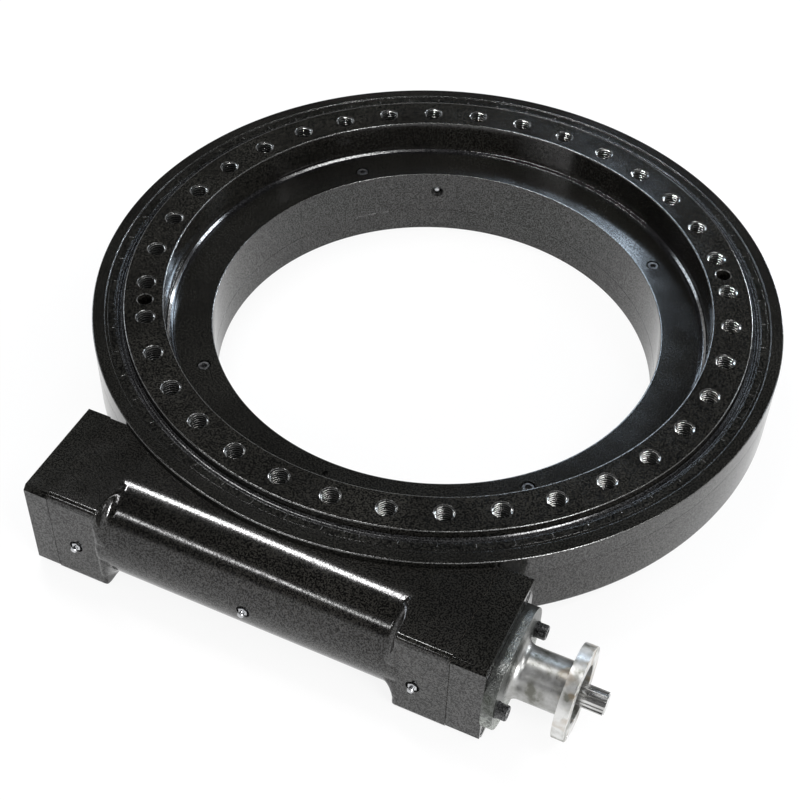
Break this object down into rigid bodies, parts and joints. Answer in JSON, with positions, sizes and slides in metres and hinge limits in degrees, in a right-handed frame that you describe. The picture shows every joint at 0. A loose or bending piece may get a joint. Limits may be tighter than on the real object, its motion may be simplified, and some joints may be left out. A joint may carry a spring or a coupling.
{
  "type": "slewing drive",
  "caption": "Enclosed slewing drive: a worm in a square-ended housing turns a large toothed ring that carries a bolt circle, with a motor adapter on the worm's driven end.",
  "frame": {"origin": "on the ring's axis, at the bottom face of the base ring", "axes": "+Z along the ring's axis towards the bolt circle, +X along the worm towards the motor adapter, the worm on the -Y side"},
  "size_m": [0.7305, 0.7928, 0.121],
  "materials": {
    "black_paint": "semi-gloss",
    "wheel_paint": "semi-gloss",
    "machined_steel": "machined",
    "bearing_steel": "ground",
    "shaft_steel": "ground",
    "black_oxide": "satin",
    "zinc": "bright",
    "seal_rubber": "matte",
    "gasket": "matte",
    "spacer_plastic": "matte"
  },
  "bodies": {
    "housing": {"casing": "black_paint", "cover_ring": "black_paint", "outer_seal": "seal_rubber", "seal_band": "black_paint", "base_ring": "black_paint", "base_screws": "black_oxide", "inner_ring": "black_paint", "filling_plug": "bearing_steel", "plug_pin": "bearing_steel", "inner_ring_screws": "black_oxide", "inner_seal": "seal_rubber", "bearing_cups": "bearing_steel", "blind_end_cap": "black_paint", "drive_end_cap": "black_paint", "cap_gaskets": "gasket", "cap_screws": "black_oxide", "shaft_seal": "seal_rubber", "motor_adapter": "machined_steel", "adapter_washers": "black_oxide", "adapter_screws": "black_oxide", "housing_nipples": "zinc", "bore_nipple": "zinc"},
    "ring": {"rotating_ring": "wheel_paint"},
    "race_rollers": {"main_rollers": "bearing_steel", "roller_spacers": "spacer_plastic"},
    "worm": {"worm_shaft": "shaft_steel", "lock_nut": "black_oxide", "bearing_cones": "bearing_steel"},
    "worm_rollers": {"bearing_rollers": "bearing_steel"}
  },
  "joints": [
    {"name": "ring_turn", "type": "hinge", "parent": "housing", "child": "ring", "pos_m": [0, 0, 0.0555], "axis": [0, 0, 1], "continuous": true},
    {"name": "rollers_turn", "type": "hinge", "parent": "housing", "child": "race_rollers", "pos_m": [0, 0, 0.0555], "axis": [0, 0, 1], "continuous": true},
    {"name": "worm_turn", "type": "hinge", "parent": "housing", "child": "worm", "pos_m": [0, -0.3662, 0.05525], "axis": [1, 0, 0], "continuous": true},
    {"name": "worm_rollers_turn", "type": "hinge", "parent": "housing", "child": "worm_rollers", "pos_m": [0, -0.3662, 0.05525], "axis": [1, 0, 0], "continuous": true}
  ],
  "couplings": [
    {"joint": "worm_turn", "follows": "ring_turn", "ratio": -120},
    {"joint": "rollers_turn", "follows": "ring_turn", "ratio": 0.5},
    {"joint": "worm_rollers_turn", "follows": "ring_turn", "ratio": -52.5}
  ]
}
